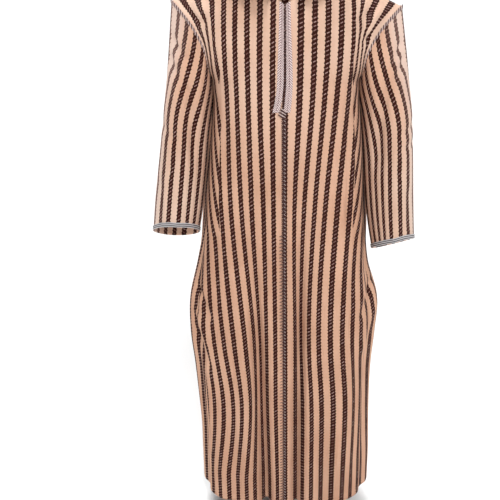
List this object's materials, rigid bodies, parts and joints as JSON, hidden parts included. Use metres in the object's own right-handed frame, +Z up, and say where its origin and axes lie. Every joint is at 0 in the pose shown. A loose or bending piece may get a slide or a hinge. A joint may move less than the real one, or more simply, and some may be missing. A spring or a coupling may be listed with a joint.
{
  "type": "hooded striped djellaba robe",
  "caption": "Long loose hooded robe of striped cloth, hollow as worn, with hanging sleeves, braided front placket and braided cuffs.",
  "frame": {"origin": "middle plane of the robe, level with the tips of the shoulders, where the wearer's shoulders carry it", "axes": "+Z up towards the neck, -Y to the front, +X to the robe's left side"},
  "size_m": [0.6715, 0.3426, 1.4558],
  "materials": {
    "striped_cloth": "soft matt weave, peach-beige with dark maroon dashed stripes",
    "placket_braid": "pinkish silver herringbone braid",
    "cuff_braid": "silver-grey braid with two thin dark lines"
  },
  "bodies": {
    "root": {"front_left": "striped_cloth", "front_right": "striped_cloth", "back": "striped_cloth", "gore_left": "striped_cloth", "gore_right": "striped_cloth", "sleeve_left": "striped_cloth", "sleeve_right": "striped_cloth", "hood_left": "striped_cloth", "hood_right": "striped_cloth", "placket_left": "placket_braid", "placket_right": "placket_braid", "cuff_left": "cuff_braid", "cuff_right": "cuff_braid"}
  },
  "joints": []
}
